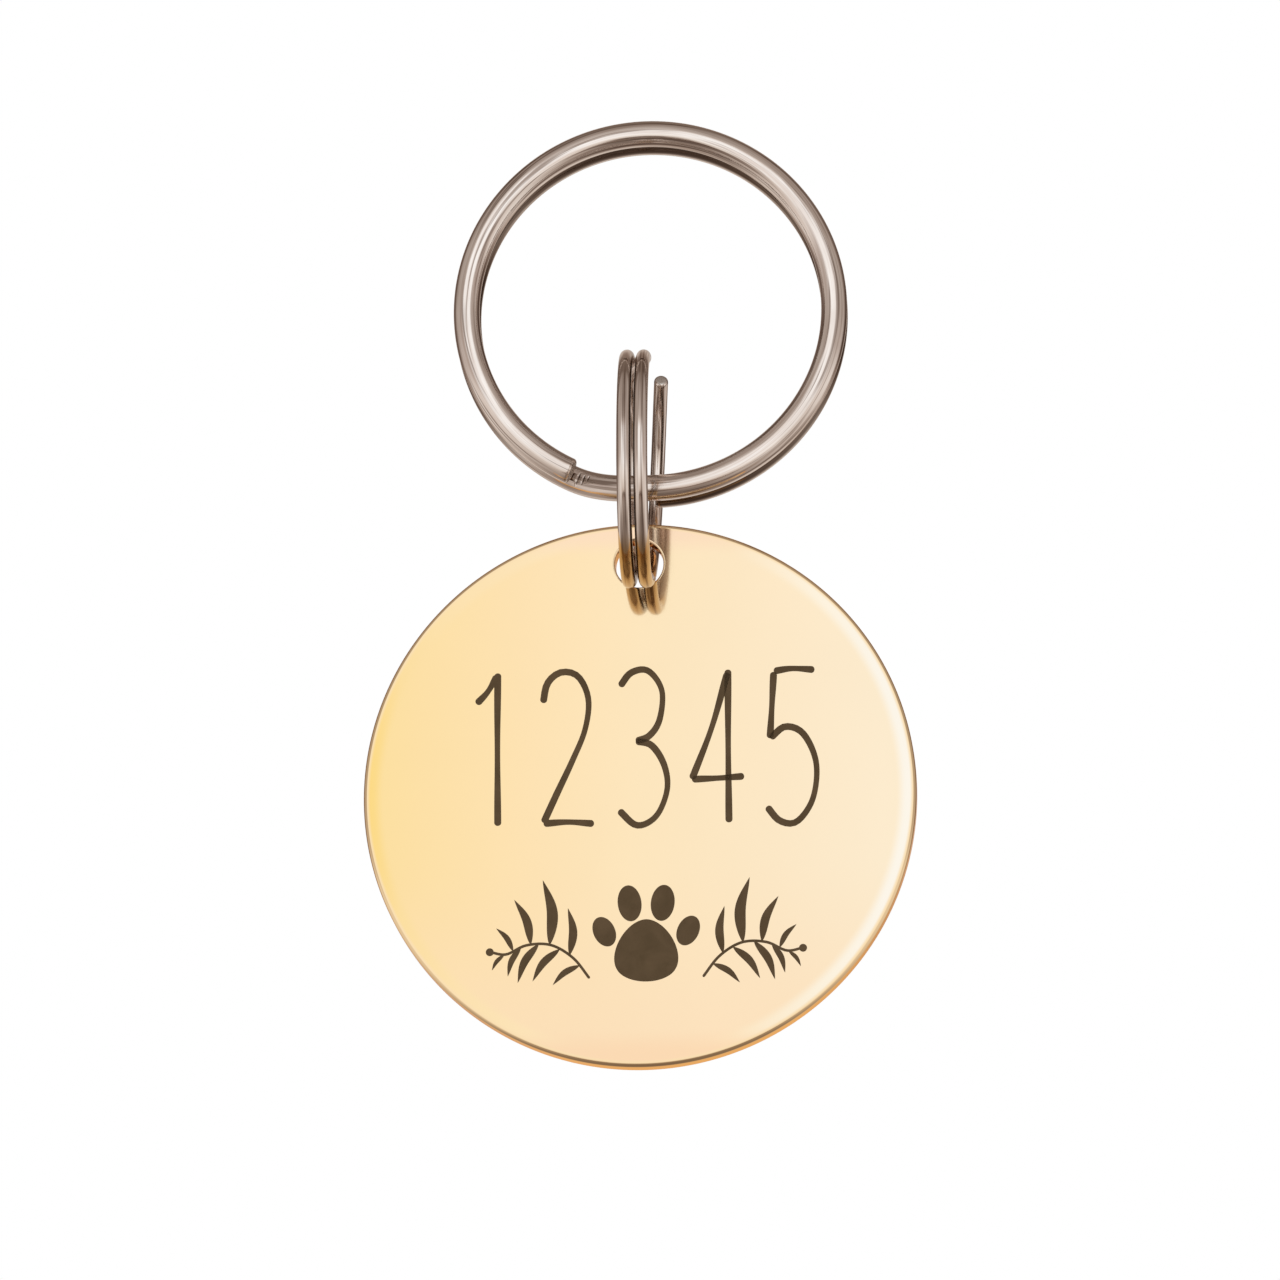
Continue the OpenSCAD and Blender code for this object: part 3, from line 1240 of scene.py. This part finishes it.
@dataclass
class Studio:
    """Pale floor, white surroundings, soft lamps and the light tent."""

    centre: Place = (-0.0005, 0.0, -0.0130)
    floor_at: float = -0.16
    floor_across: float = 6.0
    floor_colour: Colour = (0.93, 0.93, 0.93)
    ambient: float = 0.55
    lamps: tuple[Lamp, ...] = (
        Lamp("key", -35.0, 40.0, 0.9, 0.6, 6.0), Lamp("fill", 45.0, 10.0, 1.0, 0.8, 3.0),
    )

    def floor(self) -> None:
        """Lays the floor, open to a camera that looks up from under it."""
        deselect_all()
        bpy.ops.mesh.primitive_plane_add(size=self.floor_across, location=(0, 0, self.floor_at))
        floor = bpy.context.object
        floor.name = "floor"
        bpy.ops.object.transform_apply(location=True)
        material, sheet = new_material("pale_floor")
        paint = sheet.add("BsdfDiffuse", Color=self.floor_colour)
        clear = sheet.add("BsdfTransparent")
        under = sheet.add("NewGeometry").outputs["Backfacing"]
        either = sheet.add("MixShader", {}, under, paint.outputs[0], clear.outputs[0])
        sheet.add("OutputMaterial", Surface=either.outputs[0])
        floor.data.materials.append(material)
        floor.visible_glossy = False

    def surroundings(self) -> None:
        """Makes the world white where it is seen, and plain soft light elsewhere."""
        world = bpy.data.worlds.new("studio")
        bpy.context.scene.world = world
        world.use_nodes = True
        sheet = Sheet(world.node_tree)
        path, seen = sheet.add("LightPath"), 0.0
        for ray in ("Camera", "Glossy", "Transmission"):
            seen = sheet.math("MAXIMUM", seen, path.outputs[f"Is {ray} Ray"])
        level = sheet.math("MULTIPLY_ADD", seen, 1.0 - self.ambient, self.ambient)
        glow = sheet.add("Background", Color=(1.0, 1.0, 1.0), Strength=level)
        sheet.add("OutputWorld", Surface=glow.outputs[0])

    def build(self) -> None:
        """Sets up the whole studio."""
        self.floor()
        self.surroundings()
        for lamp in self.lamps:
            lamp.build(Vector(self.centre))
        LightTent(self.centre).build()
        bpy.context.scene.view_settings.view_transform = "Standard"
        LOG.info("studio: floor, tent and %d lamps", len(self.lamps))


@dataclass(frozen=True)
class Viewpoint:
    """The photograph's camera: far off, slightly right of the middle, looking up."""

    azimuth: float = 2.5
    elevation: float = -13.8
    distance: float = 400.0
    lens: float = 248.2
    aim: Place = (-0.5, 0.0, -15.35)

    def build(self) -> None:
        """Makes the camera and gives it to the scene."""
        data = bpy.data.cameras.new("camera")
        data.sensor_width = 36.0
        data.lens = self.lens
        data.clip_start, data.clip_end = 0.02, 20.0
        bpy.context.scene.camera = face_middle(
            data, self.azimuth, self.elevation, self.distance * MM, Vector(self.aim) * MM,
        )


# ---------- the whole object


@dataclass(frozen=True)
class Hanging:
    """Where each piece hangs, as in the part's source, in millimetres."""

    small_middle: Place = (-0.5, -3.4, -8.235106)
    hole: Place = (-0.5, -0.073081, -11.917407)
    tag_tilt: float = 1.0
    tag_turn: float = 1.5

    def large_place(self) -> Matrix:
        """Turns the large ring's axis from up to towards the front."""
        return turned(90, "X")

    def small_place(self) -> Matrix:
        """Turns the small ring's axis to the right and moves it to its middle."""
        return Matrix.Translation(self.small_middle) @ turned(90, "Z") @ turned(90, "X")

    def tag_place(self, hole_up: float) -> Matrix:
        """Stands the disc up with its hole in place, hole_up above its middle."""
        turn = turned(-self.tag_turn, "Z") @ turned(90 + self.tag_tilt, "X")
        return Matrix.Translation(self.hole) @ turn @ Matrix.Translation((0, -hole_up, 0))


def clear_stage() -> None:
    """Removes whatever Blender put in the scene before the frame was loaded."""
    kept = {one.name for one in (*frame["nodes"].values(), *frame["bodies"].values())}
    for one in list(bpy.data.objects):
        if one.name not in kept:
            bpy.data.objects.remove(one)


def main() -> None:
    """Builds the object, its studio and its camera."""
    logging.basicConfig(level=logging.INFO, format="%(name)s: %(message)s")
    clear_stage()
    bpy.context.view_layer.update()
    effects = Effects()
    brass = PolishedBrass().make(effects)
    oxide = BurntOxide().make(effects)
    hanging = Hanging()
    nicks = (
        Nick(49.3, 0.26, 0.11, 0.12), Nick(49.62, 0.25, 0.09, 0.08),
        Nick(49.88, 0.22, 0.08, 0.045),
    )
    SplitRing(
        "large_split_ring", "large_ring", "large_ring_metal", outside=18.0, wire=1.2, gap=0.06,
        cut_at=-115.5, step=27.0, place=hanging.large_place(),
    ).build(PlatedWire("large_wire_plate", turns_at=50.0, nicks=nicks).make(effects))
    SplitRing(
        "small_split_ring", "small_ring", "small_ring_metal", outside=10.8, wire=0.65, gap=0.1,
        cut_at=67.0, step=32.0, place=hanging.small_place(), opening=0.65, opening_turn=165.0,
    ).build(PlatedWire(
        "small_wire_plate", turns_at=30.5, disc_reflection_below=-12.0, lines_round=12.0, seam=(0.55, 1.0),
        sprung=(46.0, 54.0),
    ).make(effects))
    disc = TagDisc(hanging.tag_place(TagDisc.hole_up))
    disc.build(brass)
    Marks("number_marks", disc.place, NumberMarks().strokes()).build(oxide)
    Marks("sprig_marks", disc.place, SprigMarks().strokes()).build(oxide)
    Studio().build()
    Viewpoint().build()


if __name__ == "__main__":
    main()
